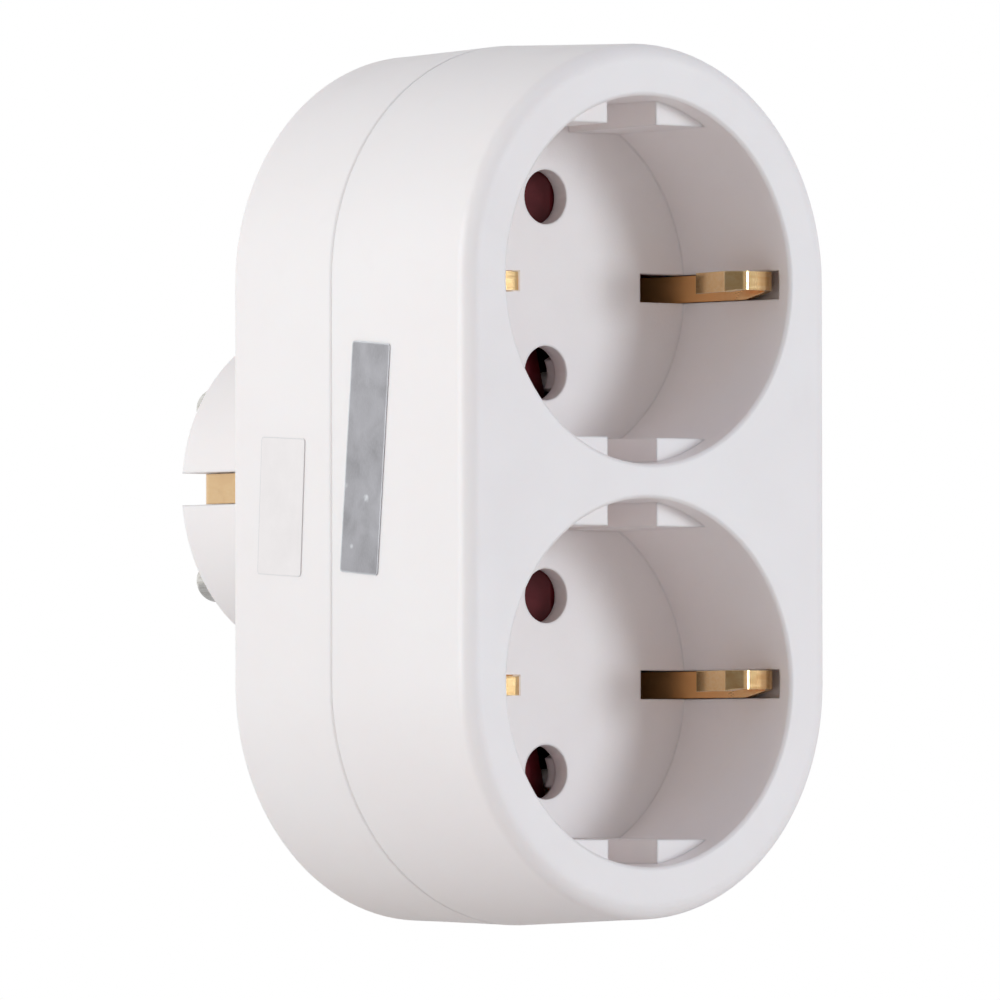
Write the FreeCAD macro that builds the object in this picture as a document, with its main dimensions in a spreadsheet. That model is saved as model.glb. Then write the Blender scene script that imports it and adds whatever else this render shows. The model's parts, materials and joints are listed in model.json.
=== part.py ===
import FreeCAD, Part

import math
import os
import re

import Sketcher
from FreeCAD import Placement, Rotation, Vector

# An adapter that turns one earthed round-pin wall socket into two.
# The origin is the centre of the plug's end face. The plug's pins point along +Y, the sockets face -Y,
# and the two sockets stand one above the other along +Z.
# Depths are counted from the front face towards the wall. Sizes are in millimetres and degrees.

SIZES = {
    # Outer shell
    "body_width": "51.8",
    "body_height": "95.0",
    "front_depth": "22.2",
    "rear_depth": "17.8",
    "front_draft": "2.0",
    "rear_draft": "1.5",
    "front_edge_radius": "1.8",
    "rear_edge_radius": "1.2",
    "joint_chamfer": "0.2",
    "shell_wall": "2.2",
    "front_skin": "2.2",
    "rear_skin": "2.0",
    "lip_height": "1.4",
    "lip_width": "1.0",
    "lip_gap": "0.1",
    # Socket wells
    "socket_spacing": "43.0",
    "recess_radius": "19.5",
    "recess_depth": "17.5",
    "recess_draft": "0.65",
    "recess_wall": "1.7",
    "rim_chamfer": "0.3",
    "floor_thickness": "2.1",
    "pin_spacing": "19.0",
    "pin_hole_radius": "2.95",
    "guide_flat": "16.6",
    "guide_setback": "3.0",
    "guide_slot": "6.5",
    "guard_height": "1.5",
    "guard_wall": "0.95",
    "guard_angle": "29.0",
    "guard_step": "0.2",
    "earth_slot_height": "3.1",
    "earth_slot_reach": "7.1",
    "earth_slot_gap": "1.1",
    "earth_slot_rim": "1.8",
    # Shutters, their posts and springs
    "shutter_gap": "0.3",
    "post_radius": "2.2",
    "post_end": "0.2",
    "shoulder_radius": "3.2",
    "post_clearance": "0.06",
    "hub_radius": "4.6",
    "hub_height": "4.5",
    "wing_radius": "13.0",
    "wing_angle": "21.0",
    "open_angle": "38.0",
    "wing_thickness": "4.3",
    "ramp_start": "2.6",
    "ramp_drop": "3.3",
    "peg_radius": "0.6",
    "peg_height": "1.5",
    "peg_angle": "14.0",
    "fixed_peg_radius": "7.0",
    "fixed_peg_angle": "125.0",
    "stop_radius": "1.1",
    "stop_reach": "11.4",
    "stop_gap": "0.2",
    "wire_radius": "0.22",
    "coil_turns": "2",
    "coil_pitch": "0.55",
    "coil_gap": "0.3",
    "washer_radius": "3.6",
    "washer_thickness": "0.5",
    "seat_clearance": "0.05",
    # Earth parts
    "strip_thickness": "0.7",
    "clip_width": "2.9",
    "clip_inset": "5.5",
    "clip_reach": "6.15",
    "clip_tip_reach": "4.6",
    "clip_roof_depth": "2.9",
    "clip_nose_depth": "4.5",
    "clip_nose_angle": "45.0",
    "clip_tip_depth": "11.1",
    "clip_bend": "1.5",
    "clip_nose_bend": "1.0",
    "clip_leaf_drop": "0.8",
    "clip_roof_drop": "0.6",
    "clip_taper_depth": "7.6",
    "bracket_width": "6.0",
    "bracket_taper": "4.4",
    "link_offset": "13.0",
    "link_width": "5.0",
    "link_thickness": "0.8",
    "link_overhang": "2.5",
    "rivet_radius": "1.2",
    "rivet_head_radius": "2.0",
    "rivet_head_height": "0.8",
    # Busbars and their cover
    "bar_thickness": "0.8",
    "bar_inner": "7.0",
    "bar_width": "5.0",
    "contact_half_width": "4.4",
    "contact_height": "6.6",
    "leaf_thickness": "0.6",
    "leaf_width": "6.0",
    "leaf_pinch": "2.3",
    "leaf_mouth": "3.5",
    "leaf_length": "11.8",
    "leaf_mouth_length": "3.1",
    "leaf_root_length": "1.7",
    "tab_width": "6.0",
    "tab_reach": "3.2",
    "tab_depth": "6.0",
    "cover_thickness": "1.6",
    "cover_rib_height": "2.2",
    "cover_rib_width": "1.6",
    "cover_rib_length": "28.0",
    "cover_width": "39.0",
    "cover_height": "72.6",
    "cover_clearance": "0.5",
    "cover_post_radius": "2.0",
    "cover_post_across": "15.8",
    "cover_post_up": "23.0",
    "hold_post_radius": "1.8",
    "hold_post_across": "8.0",
    # Plug
    "plug_radius": "18.5",
    "plug_length": "18.0",
    "plug_wall": "2.6",
    "plug_skin": "3.0",
    "plug_flat": "16.4",
    "plug_flat_length": "14.6",
    "plug_rib_width": "5.5",
    "plug_edge_radius": "0.8",
    "plug_slot_width": "3.5",
    "plug_slot_inner": "13.8",
    "strap_recess": "1.5",
    "strap_width": "3.3",
    "strap_end_gap": "1.9",
    "strap_curl": "1.5",
    "strap_curl_length": "1.1",
    "strap_rib_width": "3.0",
    "pin_radius": "2.4",
    "pin_length": "19.0",
    "pin_root_radius": "2.6",
    "collar_radius": "3.6",
    "collar_thickness": "1.0",
    "neck_radius": "1.5",
    "pin_boss_radius": "4.6",
    # Housing screws and their bosses
    "screw_offset": "41.0",
    "screw_radius": "1.45",
    "screw_end_depth": "23.0",
    "screw_head_radius": "2.8",
    "screw_head_height": "2.2",
    "screw_cross_width": "0.8",
    "screw_cross_length": "3.4",
    "screw_cross_depth": "1.2",
    "screw_sink": "1.2",
    "screw_split_depth": "30.0",
    "front_boss_radius": "3.4",
    "rear_boss_radius": "4.4",
    # Labels
    "label_thickness": "0.12",
    "label_corner": "0.4",
    "foil_width": "6.1",
    "foil_length": "24.7",
    "foil_depth": "16.5",
    "foil_height": "2.4",
    "foil_tilt": "4.9",
    "paper_width": "7.7",
    "paper_length": "14.8",
    "paper_depth": "30.9",
    "paper_height": "-2.5",
    "paper_tilt": "3.1",
}

doc = FreeCAD.newDocument("socket_adapter")
sheet = doc.addObject("Spreadsheet::Sheet", "Sizes")
for row, (alias, number) in enumerate(SIZES.items(), 1):
    sheet.set(f"A{row}", alias)
    sheet.set(f"B{row}", number)
    sheet.setAlias(f"B{row}", alias)
doc.recompute()

# Levels and places that several sub-parts share
BODY_DEPTH = "(front_depth + rear_depth)"
FLOOR_BACK = "(recess_depth + floor_thickness)"
REAR_WALL = f"({BODY_DEPTH} - rear_skin)"
BAR_FRONT = f"({REAR_WALL} - bar_thickness)"
COVER_BACK = f"({BAR_FRONT} - cover_rib_height)"
COVER_FRONT = f"({COVER_BACK} - cover_thickness)"
LINK_FRONT = f"({COVER_FRONT} - link_thickness)"
EARTH_FRONT = f"({LINK_FRONT} - strip_thickness)"
PLUG_END = f"({BODY_DEPTH} + plug_length)"
PLUG_FLOOR = f"({PLUG_END} - plug_skin)"
TAB_FRONT = f"({REAR_WALL} + tab_depth - bar_thickness)"
COLLAR_BACK = f"({REAR_WALL} + tab_depth + collar_thickness)"
SHUTTER_FRONT = f"({FLOOR_BACK} + shutter_gap)"
HUB_BACK = f"({SHUTTER_FRONT} + hub_height)"
COIL_RADIUS = "(post_radius + coil_gap + wire_radius)"
COIL_FRONT = f"({HUB_BACK} + coil_gap + wire_radius)"
WASHER_FRONT = f"({COIL_FRONT} + coil_turns * coil_pitch + wire_radius + coil_gap)"
BORE_RADIUS = "(post_radius + post_clearance)"
HOLE_OFFSET = "(pin_spacing / 2)"
CLIP_OUTER = "(body_width / 2 - clip_inset)"
STRAP_OUTER = "(plug_radius - strap_recess)"
PLUG_BORE = "(plug_radius - plug_wall)"
PLUG_BORE_FLAT = "(plug_flat - plug_wall)"
SOCKET_CENTRES = ("socket_spacing / 2", "-socket_spacing / 2")


def cell(text):
    """Puts the sheet's name before each size that an expression names."""
    return re.sub(r"[a-z]+(?:_[a-z]+)+", lambda word: "Sizes." + word.group(0), text)


def value(text):
    """The number that an expression of sizes gives."""
    return float(sheet.evalExpression(cell(text)))


def new_body(label):
    body = doc.addObject("PartDesign::Body", label)
    body.Label = label
    return body


def origin_feature(body, role):
    return next(item for item in body.Origin.OriginFeatures if item.Role == role)


def new_sketch(body, name, plane, offset="0"):
    """A sketch on one of the body's own origin planes, moved along the plane's normal."""
    sketch = body.newObject("Sketcher::SketchObject", name)
    sketch.AttachmentSupport = [(origin_feature(body, plane), "")]
    sketch.MapMode = "FlatFace"
    sketch.setExpression("AttachmentOffset.Base.z", cell(offset))
    return sketch


def depth_sketch(body, name, depth):
    """A sketch that faces the front, at a depth behind the front face. It reads X across and Z up."""
    return new_sketch(body, name, "XZ_Plane", f"-({depth})")


def constrain(sketch, constraint, text):
    number = sketch.addConstraint(constraint)
    sketch.setExpression(f"Constraints[{number}]", cell(text))


def fix_point(sketch, edge, end, across, up):
    """Holds a point of an edge at its distances from the sketch's origin."""
    for kind, text in (("DistanceX", across), ("DistanceY", up)):
        constrain(sketch, Sketcher.Constraint(kind, -1, 1, edge, end, value(text)), text)


def circle(sketch, across, up, radius):
    centre = Vector(value(across), value(up), 0)
    edge = sketch.addGeometry(Part.Circle(centre, Vector(0, 0, 1), value(radius)))
    fix_point(sketch, edge, 3, across, up)
    constrain(sketch, Sketcher.Constraint("Radius", edge, value(radius)), radius)


def arc_between(start, end, centre, turn):
    """An arc from start to end; it runs anticlockwise when turn is 1 and clockwise when it is -1."""
    first, last = (start, end) if turn > 0 else (end, start)
    radius = (start - centre).Length
    angles = [math.atan2(point.y - centre.y, point.x - centre.x) for point in (first, last)]
    if angles[1] <= angles[0]:
        angles[1] += 2 * math.pi
    return Part.ArcOfCircle(Part.Circle(centre, Vector(0, 0, 1), radius), *angles)


def outline(sketch, corners):
    """A closed profile. A corner is (across, up), followed by (centre across, centre up, turn)
    when the edge that leaves it is an arc."""
    points = [Vector(value(corner[0]), value(corner[1]), 0) for corner in corners]
    edges = []
    for number, corner in enumerate(corners):
        start, end = points[number], points[(number + 1) % len(points)]
        if len(corner) == 2:
            edges.append((sketch.addGeometry(Part.LineSegment(start, end)), 1, 2))
            continue
        centre = Vector(value(corner[2]), value(corner[3]), 0)
        ends = (1, 2) if corner[4] > 0 else (2, 1)
        edges.append((sketch.addGeometry(arc_between(start, end, centre, corner[4])), *ends))
    for number, corner in enumerate(corners):
        edge, start, end = edges[number]
        following, following_start, _ = edges[(number + 1) % len(edges)]
        sketch.addConstraint(Sketcher.Constraint("Coincident", edge, end, following, following_start))
        fix_point(sketch, edge, start, corner[0], corner[1])
        if len(corner) > 2:
            chord = points[(number + 1) % len(points)] - points[number]
            kind, text = ("DistanceY", corner[3]) if abs(chord.x) > abs(chord.y) else ("DistanceX", corner[2])
            constrain(sketch, Sketcher.Constraint(kind, -1, 1, edge, 3, value(text)), text)


def rectangle(sketch, left, right, low, high):
    outline(sketch, [(left, low), (right, low), (right, high), (left, high)])


def stadium(sketch, half_width, half_height, across="0", up="0"):
    """Two straight sides joined by half circles."""
    left, right = f"({across}) - ({half_width})", f"({across}) + ({half_width})"
    top = f"({up}) + ({half_height}) - ({half_width})"
    bottom = f"({up}) - ({half_height}) + ({half_width})"
    outline(sketch, [
        (right, bottom),
        (right, top, across, top, 1),
        (left, top),
        (left, bottom, across, bottom, 1),
    ])


def ring_sector(sketch, across, up, inner, outer, middle, half_angle):
    """Part of a ring around a centre; middle is the direction of its middle, clockwise from up."""
    def corner(radius, side):
        angle = f"({middle}) + ({side}) * ({half_angle})"
        return (f"({across}) + ({radius}) * sin({angle})", f"({up}) + ({radius}) * cos({angle})")

    outline(sketch, [
        corner(outer, 1) + (across, up, 1),
        corner(outer, -1),
        corner(inner, -1) + (across, up, -1),
        corner(inner, 1),
    ])


def flat_sided_circle(sketch, radius, flat):
    """A circle cut off by a flat at its top and at its bottom."""
    half_chord = f"sqrt(({radius})^2 - ({flat})^2)"
    outline(sketch, [
        (half_chord, f"-({flat})", "0", "0", 1),
        (half_chord, flat),
        (f"-{half_chord}", flat, "0", "0", 1),
        (f"-{half_chord}", f"-({flat})"),
    ])


def extrude(body, kind, name, profile, length, backwards=False, taper="0", both_ways=False):
    """A pad or a pocket."""
    feature = body.newObject("PartDesign::" + kind, name)
    feature.Profile = profile
    feature.setExpression("Length", cell(length))
    feature.setExpression("TaperAngle", cell(taper))
    if both_ways:
        feature.SideType = "Symmetric"
    feature.Reversed = backwards
    profile.Visibility = False
    doc.recompute()
    return feature


def pad_back(body, name, profile, length, taper="0"):
    """Adds material from a depth sketch towards the wall."""
    return extrude(body, "Pad", name, profile, length, True, taper)


def pad_front(body, name, profile, length, taper="0"):
    """Adds material from a depth sketch towards the front."""
    return extrude(body, "Pad", name, profile, length, False, taper)


def cut_back(body, name, profile, length, taper="0"):
    """Removes material from a depth sketch towards the wall."""
    return extrude(body, "Pocket", name, profile, length, False, taper)


def cut_front(body, name, profile, length, taper="0"):
    """Removes material from a depth sketch towards the front."""
    return extrude(body, "Pocket", name, profile, length, True, taper)


def edges_where(feature, test):
    return [f"Edge{number}" for number, edge in enumerate(feature.Shape.Edges, 1) if test(edge)]


def dress(body, kind, name, test, size_name, size):
    """A fillet or a chamfer on the edges of the tip that pass a test."""
    base = body.Tip
    names = edges_where(base, test)
    if not names:
        raise ValueError(f"{body.Label}: {name} finds no edge")
    feature = body.newObject("PartDesign::" + kind, name)
    feature.Base = (base, names)
    feature.setExpression(size_name, cell(size))
    doc.recompute()
    return feature


def lies_at_depth(edge, depth):
    box = edge.BoundBox
    return abs(box.YMin - depth) < 1e-4 and abs(box.YMax - depth) < 1e-4


def polar_pair(body, name, originals):
    """Repeats features half a turn round the body's own Y axis."""
    pattern = body.newObject("PartDesign::PolarPattern", name)
    pattern.Originals = originals
    pattern.Axis = (origin_feature(body, "Y_Axis"), [""])
    pattern.Angle = 360
    pattern.Occurrences = 2
    body.Tip = pattern
    doc.recompute()
    return pattern


def place(item, across="0", up="0", turn=0):
    """Moves a finished sub-part from its own front plane to its place in the adapter."""
    item.Placement = Placement(Vector(0, 0, 0), Rotation(Vector(0, 1, 0), turn))
    item.setExpression("Placement.Base.x", cell(across))
    item.setExpression("Placement.Base.y", cell(f"-{PLUG_END}"))
    item.setExpression("Placement.Base.z", cell(up))


def front_housing():
    body = new_body("front_housing")

    profile = depth_sketch(body, "front_outline", "front_depth")
    stadium(profile, "body_width / 2", "body_height / 2")
    pad_front(body, "front_block", profile, "front_depth", "-front_draft")
    dress(body, "Fillet", "front_edge", lambda edge: lies_at_depth(edge, 0), "Radius", "front_edge_radius")
    joint = value("front_depth")
    dress(body, "Chamfer", "front_joint_edge", lambda edge: lies_at_depth(edge, joint), "Size", "joint_chamfer")

    profile = depth_sketch(body, "front_hollow_outline", "front_depth")
    stadium(profile, "body_width / 2 - shell_wall", "body_height / 2 - shell_wall")
    cut_front(body, "front_hollow", profile, "front_depth - front_skin", "-front_draft")

    profile = depth_sketch(body, "front_rebate_outline", "front_depth")
    inset = "(shell_wall - lip_width - lip_gap)"
    stadium(profile, f"body_width / 2 - {inset}", f"body_height / 2 - {inset}")
    cut_front(body, "front_rebate", profile, "lip_height + lip_gap")

    profile = depth_sketch(body, "well_outline", FLOOR_BACK)
    for centre in SOCKET_CENTRES:
        circle(profile, "0", centre, "recess_radius + recess_wall")
    pad_front(body, "wells", profile, f"{FLOOR_BACK} - front_skin / 2")

    profile = depth_sketch(body, "rim_outline", "0")
    for centre in SOCKET_CENTRES:
        circle(profile, "0", centre, "recess_radius + recess_depth * tan(recess_draft)")
    cut_back(body, "well_mouths", profile, "guide_setback", "-recess_draft")
    dress(body, "Chamfer", "well_rims", is_well_rim, "Size", "rim_chamfer")

    profile = depth_sketch(body, "recess_outline", "recess_depth")
    for centre in SOCKET_CENTRES:
        guided_circle(profile, centre)
    cut_front(body, "recesses", profile, "recess_depth - guide_setback", "recess_draft")

    profile = depth_sketch(body, "pin_hole_outline", "recess_depth")
    for centre in SOCKET_CENTRES:
        for side in (1, -1):
            circle(profile, "0", f"{centre} + {side} * {HOLE_OFFSET}", "pin_hole_radius")
    cut_back(body, "pin_holes", profile, "floor_thickness")

    def beside_sockets(name, depth, inner, outer, half):
        """A rectangle on both sides of each socket, for the earth clips."""
        sketch = depth_sketch(body, name, depth)
        for socket_centre in SOCKET_CENTRES:
            low, high = f"{socket_centre} - {half}", f"{socket_centre} + {half}"
            rectangle(sketch, inner, outer, low, high)
            rectangle(sketch, f"-{outer}", f"-{inner}", low, high)
        return sketch

    side_wall = "(body_width / 2 - shell_wall / 2 - front_depth * tan(front_draft))"
    profile = beside_sockets("slot_back_outline", FLOOR_BACK, "(recess_radius + recess_wall / 2)", side_wall,
                             "(earth_slot_height / 2 + recess_wall)")
    pad_front(body, "slot_backs", profile, f"{FLOOR_BACK} - front_skin / 2")
    profile = beside_sockets("earth_slot_outline", "earth_slot_rim", f"({CLIP_OUTER} - earth_slot_reach)",
                             f"({CLIP_OUTER} + earth_slot_gap)", "earth_slot_height / 2")
    cut_back(body, "earth_slots", profile, f"{FLOOR_BACK} - earth_slot_rim")

    profile = depth_sketch(body, "guard_outline", FLOOR_BACK)
    for centre in SOCKET_CENTRES:
        for side in (1, -1):
            ring_sector(profile, "0", f"{centre} + {side} * {HOLE_OFFSET}", "(pin_hole_radius + guard_step)",
                        "(pin_hole_radius + guard_wall)", f"{-side} * 90", "guard_angle")
    pad_back(body, "pin_hole_guards", profile, "guard_height")

    def posts(name, radius, height, places):
        """Round posts on the back of the well floors, placed round each socket's centre."""
        sketch = depth_sketch(body, name + "_outline", FLOOR_BACK)
        for socket_centre in SOCKET_CENTRES:
            for across, up in places:
                circle(sketch, across, f"{socket_centre} + {up}", radius)
        pad_back(body, name, sketch, height)

    def stop_place(angle):
        """A stop beside the edge of a wing when that edge stands at an angle from up."""
        beside = "(stop_radius + stop_gap)"
        return (f"(stop_reach * sin({angle}) + {beside} * cos({angle}))",
                f"(stop_reach * cos({angle}) - {beside} * sin({angle}))")

    posts("shutter_shoulders", "shoulder_radius", "shutter_gap", [("0", "0")])
    posts("shutter_posts", "post_radius", f"{WASHER_FRONT} + washer_thickness + post_end - {FLOOR_BACK}",
          [("0", "0")])
    closed_across, closed_up = stop_place("wing_angle")
    open_across, open_up = stop_place("wing_angle + open_angle")
    posts("shutter_stops", "stop_radius", "shutter_gap + wing_thickness", [
        (f"-{closed_across}", closed_up),
        (closed_across, f"(-{closed_up})"),
        (open_across, open_up),
        (f"-{open_across}", f"(-{open_up})"),
    ])
    posts("spring_pegs", "peg_radius", f"{WASHER_FRONT} - {FLOOR_BACK}", [
        ("fixed_peg_radius * sin(fixed_peg_angle)", "fixed_peg_radius * cos(fixed_peg_angle)"),
    ])
    posts("bracket_posts", "hold_post_radius", f"{EARTH_FRONT} - {FLOOR_BACK}", [
        ("hold_post_across", "0"),
        ("-hold_post_across", "0"),
    ])

    profile = depth_sketch(body, "front_boss_outline", FLOOR_BACK)
    for side in (1, -1):
        circle(profile, "0", f"{side} * screw_offset", "front_boss_radius")
    pad_back(body, "front_bosses", profile, f"screw_split_depth - {FLOOR_BACK}")
    profile = depth_sketch(body, "pilot_hole_outline", "screw_split_depth")
    for side in (1, -1):
        circle(profile, "0", f"{side} * screw_offset", "screw_radius + seat_clearance")
    cut_front(body, "pilot_holes", profile, "screw_split_depth - screw_end_depth + seat_clearance")

    place(body)
    return body


def is_well_rim(edge):
    """The round edges where the wells open into the front face."""
    radius = value("recess_radius + recess_depth * tan(recess_draft)")
    return lies_at_depth(edge, 0) and isinstance(edge.Curve, Part.Circle) and (
        abs(edge.Curve.Radius - radius) < 1e-4)


def guided_circle(sketch, centre):
    """A socket's well below its rim: a circle with flat guides at top and bottom, each parted by a slot."""
    chord = "sqrt(recess_radius^2 - guide_flat^2)"
    slot = "guide_slot / 2"
    slot_up = "sqrt(recess_radius^2 - (guide_slot / 2)^2)"

    def at(across, up):
        return (across, f"{centre} + {up}")

    outline(sketch, [
        at(chord, "-guide_flat") + ("0", centre, 1),
        at(chord, "guide_flat"),
        at(slot, "guide_flat"),
        at(slot, slot_up) + ("0", centre, 1),
        at(f"-{slot}", slot_up),
        at(f"-{slot}", "guide_flat"),
        at(f"-{chord}", "guide_flat") + ("0", centre, 1),
        at(f"-{chord}", "-guide_flat"),
        at(f"-{slot}", "-guide_flat"),
        at(f"-{slot}", f"-{slot_up}") + ("0", centre, 1),
        at(slot, f"-{slot_up}"),
        at(slot, "-guide_flat"),
    ])


def rear_housing():
    body = new_body("rear_housing")

    profile = depth_sketch(body, "rear_outline", "front_depth")
    stadium(profile, "body_width / 2", "body_height / 2")
    pad_back(body, "rear_block", profile, "rear_depth", "-rear_draft")
    joint, back = value("front_depth"), value(BODY_DEPTH)
    dress(body, "Fillet", "rear_edge", lambda edge: lies_at_depth(edge, back), "Radius", "rear_edge_radius")
    dress(body, "Chamfer", "rear_joint_edge", lambda edge: lies_at_depth(edge, joint), "Size", "joint_chamfer")

    profile = depth_sketch(body, "plug_outline", BODY_DEPTH)
    circle(profile, "0", "0", "plug_radius")
    pad_back(body, "plug_body", profile, "plug_length")
    end = value(PLUG_END)
    dress(body, "Fillet", "plug_edge", lambda edge: lies_at_depth(edge, end), "Radius", "plug_edge_radius")

    profile = depth_sketch(body, "plug_flat_outline", PLUG_END)
    rib, reach = "plug_rib_width / 2", "plug_radius + plug_wall"
    for side in ("", "-"):
        for low, high in ((rib, reach), (f"-({reach})", f"-{rib}")):
            rectangle(profile, low, high, f"{side}plug_flat", f"{side}({reach})")
    cut_front(body, "plug_flats", profile, "plug_flat_length")

    profile = depth_sketch(body, "rear_hollow_outline", "front_depth")
    stadium(profile, "body_width / 2 - shell_wall", "body_height / 2 - shell_wall")
    cut_back(body, "rear_hollow", profile, "rear_depth - rear_skin", "-rear_draft")
    profile = depth_sketch(body, "plug_hollow_outline", REAR_WALL)
    flat_sided_circle(profile, PLUG_BORE, PLUG_BORE_FLAT)
    cut_back(body, "plug_hollow", profile, f"{PLUG_FLOOR} - {REAR_WALL}")

    profile = depth_sketch(body, "lip_outline", "front_depth")
    outer, inner = "(shell_wall - lip_width)", "shell_wall"
    for inset in (outer, inner):
        stadium(profile, f"body_width / 2 - {inset}", f"body_height / 2 - {inset}")
    pad_front(body, "joint_lip", profile, "lip_height")

    profile = depth_sketch(body, "rear_boss_outline", "screw_split_depth")
    for side in (1, -1):
        circle(profile, "0", f"{side} * screw_offset", "rear_boss_radius")
    pad_back(body, "rear_bosses", profile, f"{REAR_WALL} - screw_split_depth")
    profile = depth_sketch(body, "cover_post_outline", COVER_BACK)
    for across in ("cover_post_across", "-cover_post_across"):
        for up in ("cover_post_up", "-cover_post_up"):
            circle(profile, across, up, "cover_post_radius")
    pad_back(body, "cover_posts", profile, f"{REAR_WALL} - {COVER_BACK}")

    profile = depth_sketch(body, "pin_boss_outline", COLLAR_BACK)
    for side in (1, -1):
        circle(profile, "0", f"{side} * {HOLE_OFFSET}", "pin_boss_radius")
    pad_back(body, "pin_bosses", profile, f"{PLUG_FLOOR} - {COLLAR_BACK}")
    profile = depth_sketch(body, "plug_pin_hole_outline", COLLAR_BACK)
    for side in (1, -1):
        circle(profile, "0", f"{side} * {HOLE_OFFSET}", "pin_root_radius + seat_clearance")
    cut_back(body, "plug_pin_holes", profile, f"{PLUG_END} - {COLLAR_BACK}")

    strap_inner = f"({STRAP_OUTER} - strip_thickness)"
    profile = depth_sketch(body, "strap_rib_outline", BODY_DEPTH)
    rib = "strap_rib_width / 2"
    rectangle(profile, "plug_slot_inner", strap_inner, f"-{rib}", rib)
    rectangle(profile, f"-{strap_inner}", "-plug_slot_inner", f"-{rib}", rib)
    pad_back(body, "strap_ribs", profile, f"{PLUG_FLOOR} - {BODY_DEPTH} + plug_skin / 2")

    slot = "plug_slot_width / 2"
    profile = depth_sketch(body, "plug_slot_outline", PLUG_END)
    rectangle(profile, strap_inner, reach, f"-{slot}", slot)
    rectangle(profile, f"-({reach})", f"-{strap_inner}", f"-{slot}", slot)
    cut_front(body, "plug_slots", profile, "plug_length")
    profile = depth_sketch(body, "strap_pass_outline", BODY_DEPTH)
    pass_outer = f"({STRAP_OUTER} + seat_clearance)"
    rectangle(profile, strap_inner, pass_outer, f"-{slot}", slot)
    rectangle(profile, f"-{pass_outer}", f"-{strap_inner}", f"-{slot}", slot)
    cut_front(body, "strap_passes", profile, "rear_skin")
    profile = depth_sketch(body, "curl_notch_outline", PLUG_END)
    rectangle(profile, "plug_slot_inner", reach, f"-{slot}", slot)
    rectangle(profile, f"-({reach})", "-plug_slot_inner", f"-{slot}", slot)
    cut_front(body, "curl_notches", profile, "strap_end_gap + strap_curl + strip_thickness")

    profile = depth_sketch(body, "screw_hole_outline", "screw_split_depth")
    for side in (1, -1):
        circle(profile, "0", f"{side} * screw_offset", "screw_radius + 3 * seat_clearance")
    cut_back(body, "screw_holes", profile, f"{BODY_DEPTH} - screw_split_depth")
    profile = depth_sketch(body, "counterbore_outline", BODY_DEPTH)
    for side in (1, -1):
        circle(profile, "0", f"{side} * screw_offset", "screw_head_radius + 8 * seat_clearance")
    cut_front(body, "counterbores", profile, "screw_sink + screw_head_height")

    place(body)
    return body


def shutter(label, centre):
    """A rotor on the post behind a socket: a hub and two wings, each with a ramp that a pin pushes aside."""
    body = new_body(label)

    profile = depth_sketch(body, label + "_wing_outline", SHUTTER_FRONT)
    ring_sector(profile, "0", "0", f"(hub_radius + {BORE_RADIUS}) / 2", "wing_radius", "0", "wing_angle")
    wing = pad_back(body, label + "_wing", profile, "wing_thickness")
    profile = new_sketch(body, label + "_ramp_outline", "XY_Plane", "hub_radius")
    side = "wing_radius * sin(wing_angle)"
    outline(profile, [
        (f"-{side}", SHUTTER_FRONT),
        ("ramp_start", SHUTTER_FRONT),
        (f"-{side}", f"{SHUTTER_FRONT} + ramp_drop"),
    ])
    ramp = extrude(body, "Pocket", label + "_ramp", profile, "wing_radius", True)
    polar_pair(body, label + "_wings", [wing, ramp])

    profile = depth_sketch(body, label + "_hub_outline", SHUTTER_FRONT)
    circle(profile, "0", "0", "hub_radius")
    pad_back(body, label + "_hub", profile, "hub_height")
    profile = depth_sketch(body, label + "_bore_outline", SHUTTER_FRONT)
    circle(profile, "0", "0", BORE_RADIUS)
    cut_back(body, label + "_bore", profile, "hub_height")

    profile = depth_sketch(body, label + "_peg_outline", f"{SHUTTER_FRONT} + wing_thickness")
    reach = "(hub_radius + peg_radius)"
    circle(profile, f"-{reach} * sin(peg_angle)", f"{reach} * cos(peg_angle)", "peg_radius")
    pad_back(body, label + "_peg", profile, "peg_height")

    place(body, up=centre)
    return body


def smooth_arcs(start, end, leaving, arriving):
    """Two arcs from start to end that leave, meet and arrive without a kink."""
    chord, turn = end - start, 2 * (1 - leaving.dot(arriving))
    along = chord.dot(leaving + arriving)
    reach = (math.sqrt(along ** 2 + turn * chord.dot(chord)) - along) / turn
    corners = (start + leaving * reach, end - arriving * reach)
    meeting = (corners[0] + corners[1]) / 2

    def arc(first, corner, last):
        weight = (last - first).Length / reach
        return Part.Arc(first, (first + last + corner * weight) / (2 + weight), last).toShape()

    return [arc(start, corners[0], meeting), arc(meeting, corners[1], end)]


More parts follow.
